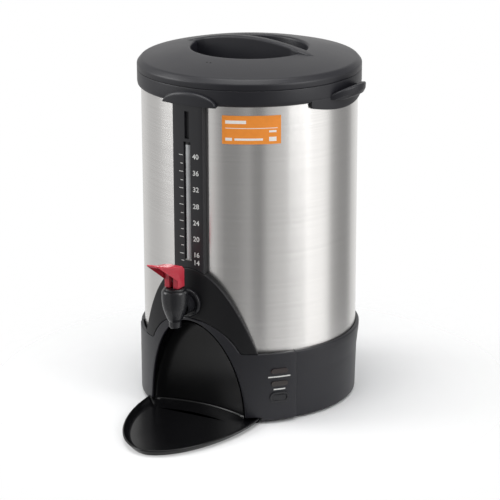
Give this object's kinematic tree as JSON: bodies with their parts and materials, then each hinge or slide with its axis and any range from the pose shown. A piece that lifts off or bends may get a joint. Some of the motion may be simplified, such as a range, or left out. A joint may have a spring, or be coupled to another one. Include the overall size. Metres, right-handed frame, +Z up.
{
  "type": "coffee urn",
  "caption": "Tall percolating coffee urn: a steel tank on a plastic base, with a front tap over a cup alcove, a sight gauge, side handles, a lift-off lid and a slide-out drip tray.",
  "frame": {"origin": "on the tank's axis, at the level of the table", "axes": "+Z up, the tap faces -Y, +X is the side of the control panel"},
  "size_m": [0.254, 0.3329, 0.366],
  "materials": {
    "charcoal_plastic": "satin moulded plastic, fine grain",
    "cowl_plastic": "satin moulded plastic",
    "gloss_black": "polished black plastic",
    "tap_plastic": "semi-gloss moulded plastic",
    "lever_plastic": "semi-gloss red plastic",
    "tank_steel": "vertically brushed stainless steel",
    "sheet_steel": "galvanised sheet",
    "zinc_steel": "zinc plated",
    "brass": "plain",
    "rubber_black": "matt",
    "silicone": "matt silicone",
    "red_silicone": "matt silicone",
    "clear_tube": "clear tube",
    "gauge_plastic": "satin with pale printed marks",
    "aluminium": "spun or pressed",
    "heater_steel": "oxidised sheath",
    "white_plastic": "heat-proof moulding",
    "thermostat_black": "phenolic moulding",
    "wire_cover": "silicone covered wire",
    "red_lens": "translucent lens",
    "amber_lens": "translucent lens",
    "neon_glass": "small neon lamps",
    "label_orange": "printed label film"
  },
  "bodies": {
    "urn": {"base_shell": "charcoal_plastic", "alcove_liner": "gloss_black", "front_cowl": "cowl_plastic", "bottom_plate": "sheet_steel", "foot_ring": "rubber_black", "base_screws": "zinc_steel", "tank": "tank_steel", "tank_floor": "tank_steel", "collar": "charcoal_plastic", "handle_screws": "zinc_steel", "gauge_strip": "gauge_plastic", "sight_tube": "clear_tube", "gauge_plug": "rubber_black", "gauge_elbow": "silicone", "elbow_nut": "brass", "tap_flange": "tap_plastic", "tap_body": "tap_plastic", "tap_gasket": "red_silicone", "tap_nut": "brass", "tap_bonnet": "tap_plastic", "tap_spring": "zinc_steel", "heater_plate": "aluminium", "main_heater": "heater_steel", "warming_heater": "heater_steel", "heater_bracket": "sheet_steel", "heater_nut": "zinc_steel", "centre_bolt": "zinc_steel", "centre_nut": "zinc_steel", "thermostat": "thermostat_black", "thermal_fuse": "white_plastic", "terminal_block": "white_plastic", "power_inlet": "tap_plastic", "inlet_pins": "brass", "inlet_screws": "zinc_steel", "wiring": "wire_cover", "power_light": "red_lens", "ready_light": "amber_lens", "pilot_lamps": "neon_glass", "switch_body": "tap_plastic", "label_plate": "label_orange"},
    "lid": {"lid": "charcoal_plastic", "lid_seal": "silicone"},
    "tap_stem": {"tap_stem": "zinc_steel", "seat_cup": "silicone", "lever_pin": "zinc_steel"},
    "tap_lever": {"tap_lever": "lever_plastic"},
    "drip_tray": {"drip_tray": "gloss_black"},
    "power_switch": {"power_switch": "tap_plastic"},
    "percolator": {"pump_tube": "aluminium", "pump_foot": "aluminium", "pump_valve": "aluminium", "coffee_basket": "aluminium", "basket_sleeve": "aluminium", "basket_cover": "aluminium"}
  },
  "joints": [
    {"name": "lid_lift", "type": "slide", "parent": "urn", "child": "lid", "axis": [0, 0, 1], "range_m": [0, 0.3]},
    {"name": "percolator_lift", "type": "slide", "parent": "urn", "child": "percolator", "axis": [0, 0, 1], "range_m": [0, 0.006]},
    {"name": "stem_lift", "type": "slide", "parent": "urn", "child": "tap_stem", "axis": [0, 0, 1], "range_m": [0, 0.00294], "deforming": ["tap_spring"]},
    {"name": "lever_press", "type": "hinge", "parent": "tap_stem", "child": "tap_lever", "pos_m": [0, -0.14, 0.1513], "axis": [1, 0, 0], "range_deg": [0, 28], "stiffness_Nm_per_rad": 0.06, "springref_deg": -8.59},
    {"name": "tray_pull", "type": "slide", "parent": "urn", "child": "drip_tray", "axis": [0, -1, 0], "range_m": [0, 0.1]},
    {"name": "switch_rock", "type": "hinge", "parent": "urn", "child": "power_switch", "pos_m": [0.07811, -0.0759, 0.0275], "axis": [0, 0, 1], "range_deg": [0, 12]}
  ],
  "couplings": [
    {"joint": "stem_lift", "follows": "lever_press", "m_per_rad": 0.006}
  ]
}
